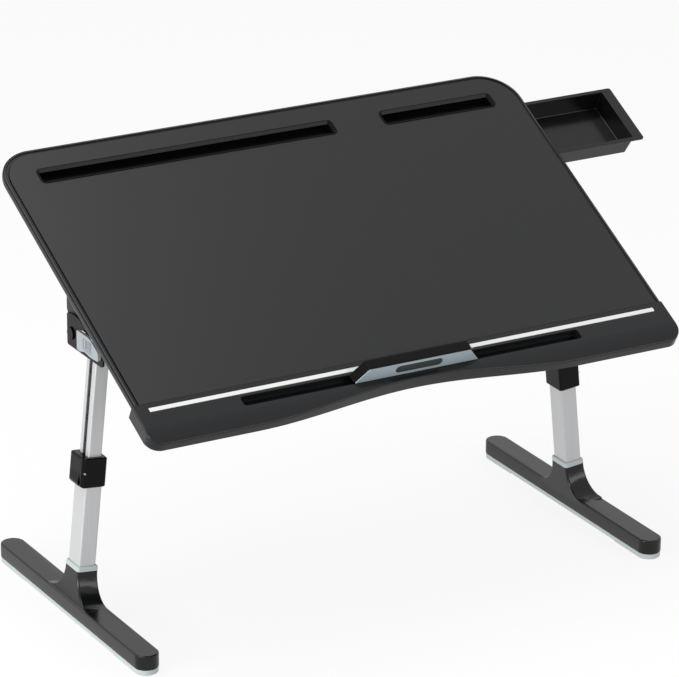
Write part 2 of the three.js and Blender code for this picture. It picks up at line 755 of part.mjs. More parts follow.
function bracket() {
  const { ahead, behind } = FLANGE;
  const front = hub.x - ahead;
  const across = [earInner[0], earOuter[1]];
  const underPin = pivot.z - (foldZ - HEAD.belowHinge) - HEAD.floor - EAR.footClearance;
  const depth = flangeTop - hub.y + underPin;
  const outline = filleted(fromShares(EAR_SHARES, [front, flangeTop], ahead + behind, -depth), SMALL);
  const web = [flangeRear - EAR_WEB.rearInset - EAR_WEB.thickness, flangeRear - EAR_WEB.rearInset];
  let body = block(across, [front, flangeRear], [flangeLow, flangeTop])
    .add(block(across, web, [flangeTop - EAR_WEB.depth, flangeTop]));
  for (const [low, high] of [earInner, earOuter]) {
    body = body
      .add(alongX(outline, low, high))
      .add(alongX(circle(hub.x, hub.y, EAR.hubRadius, ROUND), low, high));
  }
  const bore = circle(hub.x, hub.y, TILT_PIN.radius + RUNNING, ROUND);
  body = body.subtract(alongX(bore, across[0] - CUT, across[1] + CUT));
  for (const y of screwYs) {
    const hole = circle(headMiddle, y, SCREW.shank + GAP, SMALL_ROUND);
    body = body.subtract(alongZ(hole, flangeLow - CUT, flangeTop + CUT));
  }
  return body;
}

function bracketScrew(y) {
  const seat = flangeLow - GAP;
  const shank = circle(headMiddle, y, SCREW.shank, SMALL_ROUND);
  const head = circle(headMiddle, y, SCREW.head, SMALL_ROUND);
  return alongZ(shank, seat - SCREW.headHeight / 2, flangeTop + SCREW.bite)
    .add(alongZ(head, seat - SCREW.headHeight, seat));
}

// The disc is turned so that the pawl's tooth points at the root between two of its teeth
function ratchet() {
  const points = [];
  const pitch = 2 * Math.PI / RATCHET.teeth;
  const rootRadius = RATCHET.tipRadius - RATCHET.toothDepth;
  for (let i = 0; i < RATCHET.teeth; i += 1) {
    const tip = (i + 1 / 2) * pitch - TILT - QUARTER;
    const root = tip + pitch / 2;
    points.push(point(hub.x + RATCHET.tipRadius * Math.cos(tip), hub.y + RATCHET.tipRadius * Math.sin(tip)));
    points.push(point(hub.x + rootRadius * Math.cos(root), hub.y + rootRadius * Math.sin(root)));
  }
  const bore = circle(hub.x, hub.y, TILT_PIN.radius + GAP, ROUND);
  return alongX(points, discLow, discHigh).subtract(alongX(bore, discLow - CUT, discHigh + CUT));
}

function tiltPin() {
  const ends = [headInner - GAP, headOuter + GAP];
  const { radius, headRadius, headHeight } = TILT_PIN;
  const head = circle(pivot.y, pivot.z, headRadius, ROUND);
  return alongX(circle(pivot.y, pivot.z, radius, ROUND), ends[0] - headHeight / 2, ends[1] + headHeight / 2)
    .add(alongX(head, ends[0] - headHeight, ends[0]))
    .add(alongX(head, ends[1], ends[1] + headHeight));
}

// Leg head: two walls around a block that holds the fold hinge
const headFront = pivot.y - HEAD.ahead;
const headRear = pivot.y + HEAD.behind;
const headLow = foldZ - HEAD.belowHinge;
const across = [headInner, headOuter];
const outerWall = [headOuter - HEAD.wall, headOuter];
const buttonFront = pivot.y - BUTTON.ahead;
const buttonTop = barTop + BUTTON.cover;
const buttonCorners = fromShares(
  BUTTON_SHARES, [buttonFront, buttonTop - BUTTON.height], BUTTON.length, BUTTON.height);
const buttonInner = headOuter + GAP;
const pawlY = [pivot.y - PAWL.halfWidth, pivot.y + PAWL.halfWidth];

function legHead() {
  const corners = fromShares(HEAD_SHARES, [headFront, headLow], headRear - headFront, pivot.z - headLow);
  const outline = filleted(corners, SMALL);
  const hubOutline = circle(pivot.y, pivot.z, HEAD.hubRadius, ROUND);
  let head = block(across, [-HEAD.blockHalfY, HEAD.blockHalfY], [headLow, blockTop])
    .add(block(across, [0, headRear - HEAD.floorRearInset], [headLow, headLow + HEAD.floor]));
  for (const [low, high] of [[headInner, headInner + HEAD.wall], outerWall]) {
    head = head.add(alongX(outline, low, high)).add(alongX(hubOutline, low, high));
  }
  return head.subtract(hingePocket()).subtract(buttonWindow())
    .subtract(alongX(
      circle(pivot.y, pivot.z, TILT_PIN.radius + GAP, ROUND), headInner - CUT, headOuter + CUT))
    .subtract(alongX(bossOutline(BOSS.stem + GAP), outerWall[0] - CUT, headOuter + CUT));
}

// Room for the knuckle, open below and towards the middle of the stand so that the leg can fold in
function hingePocket() {
  const radius = KNUCKLE.radius + POCKET.clearance;
  const halfY = UPPER_HALF.y + GUIDE;
  const pinBore = circle(headMiddle, foldZ, FOLD_PIN.radius + GAP, ROUND);
  return alongY(circle(headMiddle, foldZ, radius, ROUND), -halfY, halfY)
    .add(block(
      [headMiddle - radius, outerWall[0]], [-halfY, halfY], [headLow - CUT, foldZ - POCKET.ceilingDrop]))
    .add(block([headInner - CUT, headMiddle], [-halfY, halfY], [headLow - CUT, foldZ + POCKET.inwardRise]))
    .add(alongY(pinBore, -HEAD.blockHalfY - CUT, HEAD.blockHalfY + CUT));
}

// The opening in the outer wall for the button, with a notch over the block for its bar
function buttonWindow() {
  const { window } = BUTTON;
  const barWindow = [pawlY[0] - window, pawlY[1] + window];
  return alongX(filleted(grown(buttonCorners, window), SMALL), outerWall[0], headOuter + CUT)
    .add(block([outerWall[0] - CUT, headOuter + CUT], barWindow, [blockTop, toothTop + window]));
}

function bossOutline(radius) {
  return circle(headRear - BOSS.rearInset, headLow + BOSS.rise, radius, ROUND);
}

function boss() {
  const seat = headOuter + GAP;
  return alongX(bossOutline(BOSS.radius), seat, seat + BOSS.height)
    .add(alongX(bossOutline(BOSS.stem), outerWall[0] + GAP, seat + BOSS.height / 2));
}

function tiltButton() {
  const outer = buttonInner + BUTTON.thickness;
  const y0 = buttonFront + BUTTON_RECESS.front;
  const y1 = buttonFront + BUTTON.length - BUTTON_RECESS.rear;
  const z0 = buttonTop - BUTTON.height + BUTTON_RECESS.low;
  const z1 = buttonTop - BUTTON_RECESS.high;
  const recess = roundedRect(y0, y1, z0, z1, BUTTON_RECESS.radius, SMALL);
  const recessFloor = outer - BUTTON_RECESS.depth;
  let button = alongX(filleted(buttonCorners, SMALL), buttonInner, outer)
    .subtract(alongX(recess, recessFloor, outer + CUT));
  const { count, pitch, width, margin } = BUTTON_RIB;
  const first = (y0 + y1 - (count - 1) * pitch - width) / 2;
  for (let i = 0; i < count; i += 1) {
    const y = first + i * pitch;
    button = button.add(block(
      [recessFloor - BUTTON_RECESS.depth, outer], [y, y + width], [z0 + margin, z1 - margin]));
  }
  return button
    .add(block([discLow - PAWL.reach, buttonInner + BUTTON.thickness / 2], pawlY, [pawlLow, barTop]))
    .add(block([discLow, discHigh], pawlY, [pawlLow, toothTop]));
}

// Fold hinge, drawn in the leg's own frame: z runs up the leg
function knuckle() {
  const { radius, neckHalfX, plugLength } = KNUCKLE;
  const halfY = UPPER_HALF.y;
  const inner = UPPER.wall + GAP;
  const channelFloor = UPPER_HALF.x - CHANNEL.depth;
  const plug = roundedRect(
    inner - UPPER_HALF.x, channelFloor - inner, inner - UPPER_HALF.y, UPPER_HALF.y - inner,
    UPPER.radius - UPPER.wall / 2 - GAP, SMALL);
  const bore = circle(0, foldHeight, FOLD_PIN.radius + RUNNING, ROUND);
  return alongY(circle(0, foldHeight, radius, ROUND), -halfY, halfY)
    .add(block([-neckHalfX, neckHalfX], [-halfY, halfY], [upperHigh + GAP, foldHeight]))
    .add(alongZ(plug, upperHigh - plugLength, upperHigh + CUT))
    .subtract(alongY(bore, -halfY - CUT, halfY + CUT));
}

function foldPin() {
  const half = HEAD.blockHalfY + FOLD_PIN.overhang;
  return alongY(circle(0, foldHeight, FOLD_PIN.radius, ROUND), -half, half);
}

// An open rectangle of tube wall with the channel pressed into its outer face
function channelTube(inset) {
  const x = UPPER_HALF.x - inset;
  const y = UPPER_HALF.y - inset;
  const radius = UPPER.radius - inset / 2;
  const halfY = CHANNEL.halfY + inset;
  const floor = UPPER_HALF.x - CHANNEL.depth - inset;
  return [
    ...arc(x - radius, radius - y, radius, -QUARTER, 0, SMALL),
    point(x, -halfY), point(floor, -halfY), point(floor, halfY), point(x, halfY),
    ...arc(x - radius, y - radius, radius, 0, QUARTER, SMALL),
    ...arc(radius - x, y - radius, radius, QUARTER, Math.PI, SMALL),
    ...arc(radius - x, radius - y, radius, Math.PI, Math.PI + QUARTER, SMALL),
  ];
}

function indexHoles(grow) {
  const halfY = INDEX_HOLE.halfY + grow;
  const halfL = INDEX_HOLE.halfL + grow;
  const holes = [];
  for (let i = 0; i < INDEX_HOLE.count; i += 1) {
    const level = holeFirst + i * holePitch;
    const outline = roundedRect(-halfY, halfY, level - halfL, level + halfL, INDEX_HOLE.radius, SMALL);
    holes.push(alongX(outline, 0, UPPER_HALF.x + CUT));
  }
  return holes;
}

function upperTube() {
  const wall = alongZ(channelTube(0), upperLow, upperHigh, [channelTube(UPPER.wall)]);
  return indexHoles(GAP).reduce((tube, hole) => tube.subtract(hole), wall);
}

const stripInner = UPPER_HALF.x - CHANNEL.depth + GAP;
const stripOuter = stripInner + INDEX.thickness;

function indexStrip() {
  const halfY = CHANNEL.halfY - GAP;
  const { endInset } = INDEX;
  const strip = block([stripInner, stripOuter], [-halfY, halfY], [upperLow + endInset, upperHigh - endInset]);
  return indexHoles(0).reduce((rest, hole) => rest.subtract(hole), strip);
}

const upperBore = (grow) => rectangle(UPPER_HALF.x + grow, UPPER_HALF.y + grow, UPPER.radius + grow);
const lowerBore = (grow) => rectangle(LOWER.halfX + grow, LOWER.halfY + grow, LOWER.radius + grow);

function tubeSlider() {
  const low = upperLow + SLIDER.endInset;
  return alongZ(upperBore(GAP + SLIDER.wall), low, low + SLIDER.length, [upperBore(GAP)]);
}

// Height clamp: collar, rocking latch with its locking pin, and the pin that the latch rocks on
const latchY = [LATCH.offsetY - LATCH.width / 2, LATCH.offsetY + LATCH.width / 2];
const pocketX = collarOuter - LATCH.pocketDepth;
const leverBack = pocketX + LATCH.play;
const leverPivot = leverBack + LATCH.pivotInset;
const leverHinge = (radius) => circle(leverPivot, latchPivot, radius, SMALL_ROUND);
const pinOutline = (radius) => circle(0, holeFirst, radius, SMALL_ROUND);

// The pin turns with the lever, so its way through the collar is a slot that is longer upwards
function pinSlot() {
  const half = LATCH_PIN.radius + GUIDE;
  return roundedRect(-half, half, holeFirst - half, holeFirst + half + LATCH_PIN.lift, half - GUIDE, SMALL);
}

function collarOutline(inset) {
  const { radius, bevelX, bevelY, bevelRadius } = COLLAR;
  const halfY = collarHalfY - inset;
  return filleted([
    [inset - collarInner, -halfY, radius],
    [collarOuter - bevelX - inset / 2, -halfY, bevelRadius],
    [collarOuter - inset, bevelY - collarHalfY + inset / 2, bevelRadius],
    [collarOuter - inset, halfY, bevelRadius],
    [inset - collarInner, halfY, radius],
  ], SMALL);
}

function collar() {
  const { edge } = COLLAR;
  const [y0, y1] = latchY;
  const seat = lowerHigh + GAP;
  const body = stack([
    [collarOutline(edge), collarLow],
    [collarOutline(0), collarLow + edge],
    [collarOutline(0), collarHigh - edge],
    [collarOutline(edge), collarHigh],
  ]);
  const leverRoom = block(
    [pocketX, collarOuter + CUT], [y0 - GAP, y1 + GAP], [collarLow - CUT, latchHigh + GAP]);
  return body
    .subtract(alongZ(lowerBore(GAP), collarLow - CUT, seat))
    .subtract(alongZ(upperBore(GUIDE), seat - CUT, collarHigh + CUT))
    .subtract(leverRoom)
    .subtract(alongY(leverHinge(LATCH.hub + GUIDE), y0 - GAP, y1 + GAP))
    .subtract(alongY(leverHinge(LATCH.pin + RUNNING), -collarHalfY - CUT, y1 + LATCH.pinRun + GAP))
    .subtract(alongX(pinSlot(), UPPER_HALF.x, pocketX + CUT));
}

function latchLever() {
  const wedge = leverBack + LATCH.wedge;
  const tab = collarOuter + LATCH.tab;
  const outline = filleted([
    [leverBack, latchPivot, 0],
    [wedge, latchLow, 0],
    [(wedge + tab) / 2, latchLow, 0],
    [tab, latchLow + LATCH.tabRise, LATCH.tabRadius],
    [collarOuter, latchPivot - LATCH.hub, LATCH.waistRadius],
    [collarOuter, latchHigh, LATCH.topRadius],
    [leverBack, latchHigh, 0],
  ], SMALL);
  const [y0, y1] = latchY;
  const socketEnd = leverBack + LATCH_PIN.seat + GAP;
  return alongY(outline, y0, y1)
    .add(alongY(leverHinge(LATCH.hub), y0, y1))
    .subtract(alongY(leverHinge(LATCH.pin + RUNNING), y0 - CUT, y1 + CUT))
    .subtract(alongX(pinOutline(LATCH_PIN.radius + GAP), leverBack - CUT, socketEnd));
}

function latchHingePin() {
  return alongY(leverHinge(LATCH.pin), -collarHalfY - GAP, latchY[1] + LATCH.pinRun);
}

function latchPin() {
  return alongX(pinOutline(LATCH_PIN.radius), stripOuter + GUIDE, leverBack + LATCH_PIN.seat);
}

// Foot: a long rounded bar with a tower that flares into it, a ring round the tower's mouth and a pale sole
function stadium(inset) {
  const radius = FOOT.halfWidth - inset;
  const straight = FOOT.halfLength - FOOT.halfWidth;
  return [
    ...arc(0, straight, radius, 0, Math.PI, FINE + FINE),
    ...arc(0, -straight, radius, Math.PI, 2 * Math.PI, FINE + FINE),
  ];
}

function tower(spread) {
  const mouthX = LOWER.halfX + GAP + TOWER.wall;
  const mouthY = LOWER.halfY + GAP + TOWER.wall;
  const outlineAt = (share) => rectangle(mouthX + spread * share, mouthY + TOWER.flare * share, TOWER.radius);
  const low = footTop - TOWER.sunk;
  const levels = [[outlineAt(1), footTop - TOWER.root]];
  for (let i = 0; i <= TOWER.steps; i += 1) {
    const turn = QUARTER * i / TOWER.steps;
    levels.push([outlineAt(1 - Math.sin(turn)), low + (towerTop - low) * (1 - Math.cos(turn))]);
  }
  return stack(levels);
}

function footBase() {
  const lean = (solid) => toSolid(toGeometry(solid).applyMatrix4(new THREE.Matrix4().makeRotationY(-SPLAY)));
  return stack([
    [stadium(FOOT.lowInset), footLow],
    [stadium(0), footLow + FOOT.lowRise],
    [stadium(0), footTop - FOOT.shoulder],
    [stadium(FOOT.edgeStep), footTop - FOOT.edgeDrop],
    [stadium(FOOT.edgeInset), footTop],
  ])
    .add(lean(tower(0)))
    .add(lean(tower(TOWER.spread)).intersect(alongZ(stadium(0), footTop - TOWER.root, towerTop)))
    .subtract(lean(alongZ(lowerBore(GAP), socketFloor, towerTop + CUT)));
}

function footSole() {
  const { inset, thickness, archHalfLength, archHeight } = SOLE;
  const reach = [-FOOT.halfWidth - CUT, FOOT.halfWidth + CUT];
  return stack([[stadium(inset + inset), 0], [stadium(inset), inset], [stadium(inset), thickness]])
    .subtract(block(reach, [-archHalfLength, archHalfLength], [-CUT, archHeight]));
}

function footRing() {
  const low = towerTop + GAP;
  const high = low + RING.height;
  const outline = (inset) => rectangle(
    LOWER.halfX + GAP + RING.wall - inset, LOWER.halfY + GAP + RING.wall - inset, RING.radius - inset);
  return stack([[outline(0), low], [outline(0), high - RING.edge], [outline(RING.edge), high]])
    .subtract(alongZ(lowerBore(GAP), low - CUT, high + CUT));
}

// Both sides
const lowerTube = () => alongZ(lowerBore(0), lowerLow, lowerHigh, [lowerBore(-LOWER.wall)]);
for (const [name, side] of [['left', -1], ['right', 1]]) {
  const upright = new THREE.Group();
  const foot = new THREE.Group();
  foot.position.x = side * footCentre;
  const leg = new THREE.Group();
  leg.position.x = side * footCentre;
  leg.rotation.y = -side * SPLAY;
  stand.add(upright, foot, leg);

  const pieces = [
    [slopeTop, 'bracket', bracket(), GREY],
    [slopeTop, 'bracket_screw_front', bracketScrew(screwYs[0]), STEEL],
    [slopeTop, 'bracket_screw_rear', bracketScrew(screwYs[1]), STEEL],
    [slopeTop, 'tilt_ratchet', ratchet(), STEEL],
    [upright, 'leg_head', legHead(), BLACK],
    [upright, 'tilt_pin', tiltPin(), STEEL],
    [upright, 'tilt_button', tiltButton(), GREY],
    [upright, 'head_boss', boss(), BLACK],
    [leg, 'fold_pin', foldPin(), STEEL],
    [leg, 'fold_knuckle', knuckle(), BLACK],
    [leg, 'upper_tube', upperTube(), ALUMINIUM],
    [leg, 'index_strip', indexStrip(), BLACK],
    [leg, 'tube_slider', tubeSlider(), BLACK],
    [leg, 'lower_tube', lowerTube(), ALUMINIUM],
    [leg, 'clamp_collar', collar(), BLACK],
    [leg, 'latch_lever', latchLever(), BLACK],
    [leg, 'latch_hinge_pin', latchHingePin(), STEEL],
    [leg, 'latch_pin', latchPin(), STEEL],
    [leg, 'foot_ring', footRing(), PALE_RUBBER],
    [foot, 'foot_base', footBase(), CHARCOAL],
    [foot, 'foot_sole', footSole(), PALE_RUBBER],
  ];
  for (const [parent, piece, solid, look] of pieces) {
    const mesh = place(parent, `${piece}_${name}`, solid, look);
    if (side < 0) mirrored(mesh);
  }
}

// The origin is on the floor, under the middle of the whole stand with its drawer out
stand.updateMatrixWorld(true);
const bounds = new THREE.Box3().setFromObject(stand, true);
const middle = bounds.getCenter(new THREE.Vector3());
stand.position.set(-middle.x, -middle.y, -bounds.min.z);

export default stand;
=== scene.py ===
"""Laptop stand with a drawer: finishes, finer forms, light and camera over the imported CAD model.

Sizes are millimetres, as in the CAD source, unless a comment says metres, which are Blender's units.
"""

import math

import bmesh
import bpy
from mathutils import Matrix, Vector


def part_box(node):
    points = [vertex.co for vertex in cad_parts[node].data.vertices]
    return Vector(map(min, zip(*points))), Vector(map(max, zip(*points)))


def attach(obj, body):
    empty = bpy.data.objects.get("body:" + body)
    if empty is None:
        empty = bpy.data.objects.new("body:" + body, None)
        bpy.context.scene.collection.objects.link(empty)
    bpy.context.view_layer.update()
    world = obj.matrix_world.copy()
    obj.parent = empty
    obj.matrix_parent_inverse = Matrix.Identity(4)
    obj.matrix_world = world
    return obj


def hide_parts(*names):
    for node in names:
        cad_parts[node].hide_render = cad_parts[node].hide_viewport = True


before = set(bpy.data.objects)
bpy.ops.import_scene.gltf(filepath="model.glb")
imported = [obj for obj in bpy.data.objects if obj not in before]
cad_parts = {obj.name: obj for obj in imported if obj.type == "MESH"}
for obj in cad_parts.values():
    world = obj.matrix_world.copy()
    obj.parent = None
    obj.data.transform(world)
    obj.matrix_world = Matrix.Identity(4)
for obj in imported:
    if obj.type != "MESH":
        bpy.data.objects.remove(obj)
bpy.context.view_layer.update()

MM = 0.001

# Sizes shared with the CAD source
GAP = 0.3
TILT = math.radians(27)
DESK = {"half_width": 351, "rear": 423.5, "corner": 48, "front": 13}
TRIM = {"width": 7.4, "round": 0.3}
# The trim's section: how far in from the desktop's edge, and how high above the desktop's top
TRIM_SECTION = [
    (8.4, -9.5), (2.6, -9.5), (1.1, -8.2), (0.3, -6.6), (0, -5.9), (0, -1.3), (0.2, -1), (0.6, -0.8),
    (0.8, -1.6), (1.4, -1.6), (1.6, -0.35), (2.9, 0.35), (3.1, 0.4), (3.4, 0), (3.5, -0.8), (3.6, -1.6),
    (7.4, -1.6), (7.4, -9), (8.4, -9),
]
REST = {
    "overhang": 1.6, "reach": 44, "depth": 18, "corner": 17, "hollow": 16.5, "hollow_half": 215,
    "crown_reach": 24, "crown_drop": 6, "foot": 1.6, "fillet": 1.3, "wall": 2.2,
}
REST_LEDGE = {"side_inset": 5.6, "reach": 21, "top": -8.9, "thickness": 4.2}
REST_POCKET = {"count": 8, "rib": 4}
GROOVE = {
    "half": 224.5, "rear": -3.5, "width": 14.5, "ledge": 2.5, "ledge_depth": 8.5, "depth": 12, "end": 4,
}
STRIP = {"side_inset": 15.8, "low": 0.3, "width": 5.5, "end": 0.8, "proud": 0.5, "sunk": 0.9}
DRAWER = {
    "end": 486, "length": 250, "width": 92.3, "rear": 377.4, "rim": 4.9, "end_flange": 14, "rim_top": -14,
    "rim_thickness": 3, "rim_corner": 3, "corner": 2.5, "depth": 25, "wall": 1.8, "floor": 2, "draft": 2.5,
    "edge": 0.6,
}
REST_FRONT = -REST["reach"]
REST_SIDE = DESK["half_width"] + REST["overhang"]
CROWN_END = REST_FRONT + REST["crown_reach"]
GROOVE_FRONT = GROOVE["rear"] - GROOVE["width"]

# The desktop's flat frame in the row frame, in metres: its origin is in front of the strip's middle
strip_low, strip_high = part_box("anti_slip_strip")
SLOPE_ORIGIN = Vector((
    (strip_low.x + strip_high.x) / 2,
    strip_low.y - MM * (STRIP["low"] * math.cos(TILT) - STRIP["proud"] * math.sin(TILT)),
    strip_high.z - MM * ((STRIP["low"] + STRIP["width"]) * math.sin(TILT) + STRIP["proud"] * math.cos(TILT)),
))
SLOPE = Matrix.Translation(SLOPE_ORIGIN) @ Matrix.Rotation(TILT, 4, "X") @ Matrix.Scale(MM, 4)

# ---------------------------------------------------------------- materials

# The part of a noise's values that counts: almost all of them lie in it
NOISE_RANGE = (0.3, 0.7)


def linear(code):
    """The linear colour of a written one such as 47484a."""
    shares = [int(code[i:i + 2], 16) / 255 for i in (0, 2, 4)]
    return tuple((s / 12.92 if s <= 0.04045 else ((s + 0.055) / 1.055) ** 2.4) for s in shares) + (1,)


def tinted(colour, factor):
    """The colour made lighter or darker by a factor."""
    return tuple(min(c * factor, 1) for c in colour[:3]) + (1,)


class Finish:
    """A procedural material: a shader whose colour, roughness and surface vary by nodes."""

    def __init__(self, name, **sockets):
        self.material = bpy.data.materials.new(name)
        self.material.use_nodes = True
        self.tree = self.material.node_tree
        self.shader = self.tree.nodes["Principled BSDF"]
        for socket, value in sockets.items():
            self.shader.inputs[socket.replace("_", " ")].default_value = value
        self.coordinates = self.tree.nodes.new("ShaderNodeTexCoord").outputs["Object"]

    def link(self, start, end):
        self.tree.links.new(start, end)

    def noise(self, size, detail=2.0, stretch=(1, 1, 1), roughness=0.5):
        """Noise whose features are about size millimetres wide, longer where stretch is larger."""
        mapping = self.tree.nodes.new("ShaderNodeMapping")
        mapping.inputs["Scale"].default_value = [1 / s for s in stretch]
        self.link(self.coordinates, mapping.inputs["Vector"])
        noise = self.tree.nodes.new("ShaderNodeTexNoise")
        noise.inputs["Scale"].default_value = 1 / (size * MM)
        noise.inputs["Detail"].default_value = detail
        noise.inputs["Roughness"].default_value = roughness
        self.link(mapping.outputs["Vector"], noise.inputs["Vector"])
        return noise.outputs["Fac"]

    def spread(self, noise, low, high):
        """The noise's range mapped to low to high."""
        ranged = self.tree.nodes.new("ShaderNodeMapRange")
        limits = (*NOISE_RANGE, low, high)
        for socket, limit in zip(("From Min", "From Max", "To Min", "To Max"), limits):
            ranged.inputs[socket].default_value = limit
        self.link(noise, ranged.inputs["Value"])
        return ranged.outputs["Result"]

    def colour(self, first, second, noise):
        """The colour runs from the first to the second with the noise."""
        mix = self.tree.nodes.new("ShaderNodeMix")
        mix.data_type = "RGBA"
        colours = [socket for socket in mix.inputs if socket.type == "RGBA"]
        colours[0].default_value = first
        colours[1].default_value = second
        self.link(self.spread(noise, 0, 1), mix.inputs["Factor"])
        result = next(socket for socket in mix.outputs if socket.type == "RGBA")
        self.link(result, self.shader.inputs["Base Color"])

    def roughness(self, noise, low, high):
        """The roughness runs from low to high with the noise."""
        self.link(self.spread(noise, low, high), self.shader.inputs["Roughness"])

    def bump(self, noise, depth):
        """Raises the surface by up to depth millimetres."""
        bump = self.tree.nodes.new("ShaderNodeBump")
        bump.inputs["Distance"].default_value = depth * MM
        self.link(noise, bump.inputs["Height"])
        self.link(bump.outputs["Normal"], self.shader.inputs["Normal"])


def moulded(name, code, rough, grain=0.45, depth=0.02, vary=0.06, **sockets):
    """Injection-moulded plastic or rubber: fine grain, with slight changes of colour and of gloss."""
    cloud = 9
    finish = Finish(name, **sockets)
    base = linear(code)
    clouds = finish.noise(cloud, detail=4, roughness=0.7)
    finish.colour(tinted(base, 1 - vary), tinted(base, 1 + vary), clouds)
    finish.roughness(finish.noise(cloud / 3, detail=4), rough * 0.92, min(rough * 1.08, 1))
    finish.bump(finish.noise(grain, detail=1), depth)
    return finish.material


def brushed(name, code, rough, **sockets):
    """Drawn aluminium: fine lines along the tube, with faint handling marks."""
    finish = Finish(name, **sockets)
    base = linear(code)
    lines = finish.noise(0.5, detail=3, stretch=(1, 1, 160))
    finish.colour(tinted(base, 0.94), tinted(base, 1.05), lines)
    finish.roughness(finish.noise(24, detail=5, stretch=(1, 1, 3)), rough * 0.85, rough * 1.2)
    finish.bump(lines, 0.012)
    return finish.material


def machined(name, code, rough, **sockets):
    """Turned or stamped steel."""
    finish = Finish(name, **sockets)
    base = linear(code)
    finish.colour(tinted(base, 0.9), tinted(base, 1.05), finish.noise(3, detail=3))
    finish.roughness(finish.noise(1.5, detail=3), rough * 0.8, rough * 1.3)
    finish.bump(finish.noise(0.4, stretch=(8, 1, 1)), 0.01)
    return finish.material


# Each slot's kind, colour and roughness, and what else its finish differs by
FINISHES = {
    "desktop_laminate": (moulded, "101113", 0.4, dict(
        grain=0.7, depth=0.006, vary=0.04, Specular_IOR_Level=0.35)),
    "edge_plastic": (moulded, "1a1b1d", 0.2, dict(depth=0.002, vary=0.03, Specular_IOR_Level=0.25)),
    "white_silicone": (moulded, "e2e3e2", 0.65, dict(grain=0.8, depth=0.02, vary=0.01)),
    "black_plastic": (moulded, "070708", 0.22, dict(depth=0.002, Specular_IOR_Level=0.1)),
    "slate_plastic": (moulded, "98a6ae", 0.38, dict(depth=0.006, vary=0.03)),
    "black_rubber": (moulded, "18191b", 0.6, dict(grain=0.6, depth=0.02)),
    "charcoal_plastic": (moulded, "0e0f10", 0.2, dict(
        grain=0.6, depth=0.002, vary=0.04, Specular_IOR_Level=0.3)),
    "bracket_plastic": (moulded, "1e1f20", 0.35, dict(depth=0.004, Specular_IOR_Level=0.2)),
    "grey_plastic": (moulded, "9aa2a6", 0.45, dict(depth=0.006, vary=0.04)),
    "steel": (machined, "b4b6b8", 0.3, dict(Metallic=1.0)),
    "aluminium_tube": (brushed, "bcbdbe", 0.34, dict(Metallic=0.25)),
    "gloss_black_plastic": (moulded, "050506", 0.12, dict(depth=0.001, Specular_IOR_Level=0.12)),
    "pale_rubber": (moulded, "b2bbbc", 0.6, dict(grain=0.8, depth=0.02, vary=0.03)),
}
MATERIALS = {name: make(name, code, rough, **more) for name, (make, code, rough, more) in FINISHES.items()}

# ---------------------------------------------------------------- shaping

# Angles in degrees: edges below the first are shaded smooth, and edges above the others are rounded
SMOOTH_BELOW = 32
SOFTEN_ABOVE = 35
FORM_BEVEL_ABOVE = 50
BEVEL_SEGMENTS = 2
# Points of a CAD mesh, and of a form drawn here, that are closer than this are joined
WELD = 0.01
FORM_WELD = 0.001


def smoothing(angle):
    """A modifier group that joins a mesh's triangles and shades them smooth below an angle."""
    group = bpy.data.node_groups.new(f"smooth_{angle}", "GeometryNodeTree")
    group.is_modifier = True
    for way in ("INPUT", "OUTPUT"):
        group.interface.new_socket("Geometry", in_out=way, socket_type="NodeSocketGeometry")
    start = group.nodes.new("NodeGroupInput")
    merge = group.nodes.new("GeometryNodeMergeByDistance")
    merge.inputs["Distance"].default_value = WELD * MM
    edge_angle = group.nodes.new("GeometryNodeInputMeshEdgeAngle")
    sharp = group.nodes.new("FunctionNodeCompare")
    sharp.operation = "GREATER_THAN"
    sharp.inputs["B"].default_value = math.radians(angle)
    faces = group.nodes.new("GeometryNodeSetShadeSmooth")
    faces.domain = "FACE"
    edges = group.nodes.new("GeometryNodeSetShadeSmooth")
    edges.domain = "EDGE"
    edges.inputs["Shade Smooth"].default_value = False
    end = group.nodes.new("NodeGroupOutput")
    for source, target in (
        (start.outputs[0], merge.inputs["Geometry"]),
        (merge.outputs["Geometry"], faces.inputs["Geometry"]),
        (faces.outputs["Geometry"], edges.inputs["Geometry"]),
        (edge_angle.outputs["Unsigned Angle"], sharp.inputs["A"]),
        (sharp.outputs["Result"], edges.inputs["Selection"]),
        (edges.outputs["Geometry"], end.inputs[0]),
    ):
        group.links.new(source, target)
    return group


SMOOTH = smoothing(SMOOTH_BELOW)


def shade(obj):
    """Shades an object smooth below the angle, with its large flat faces kept flat."""
    smooth = obj.modifiers.new("smooth", "NODES")
    smooth.node_group = SMOOTH
    weighted = obj.modifiers.new("weighted", "WEIGHTED_NORMAL")
    weighted.keep_sharp = True


def add_bevel(obj, radius, above):
    """Rounds the edges above an angle to a radius."""
    bevel = obj.modifiers.new("edges", "BEVEL")
    bevel.width = radius * MM
    bevel.segments = BEVEL_SEGMENTS
    bevel.limit_method = "ANGLE"
    bevel.angle_limit = math.radians(above)
    return bevel


def soften(obj, radius):
    """Rounds a CAD node's sharp edges."""
    weld = obj.modifiers.new("weld", "WELD")
    weld.merge_threshold = WELD * MM
    bevel = add_bevel(obj, radius, SOFTEN_ABOVE)
    bevel.miter_outer = "MITER_ARC"


# ---------------------------------------------------------------- finer forms

# How many steps a round or a length is drawn in
TRIM_CORNER_STEPS = 24
REST_STEPS = {"corner": 20, "fillet": 8, "half": 60, "crown": 14}
# Sections of the palm rest are at least this far apart
REST_SECTION_GAP = 0.004
BOX_ROUND = 0.01
TUB_MIN_ROUND = 0.3


def arc(cx, cy, radius, start, end, steps):
    """Points on a circle from one angle to another, in degrees."""
    angles = [math.radians(start + (end - start) * i / steps) for i in range(steps + 1)]
    return [(cx + radius * math.cos(a), cy + radius * math.sin(a)) for a in angles]


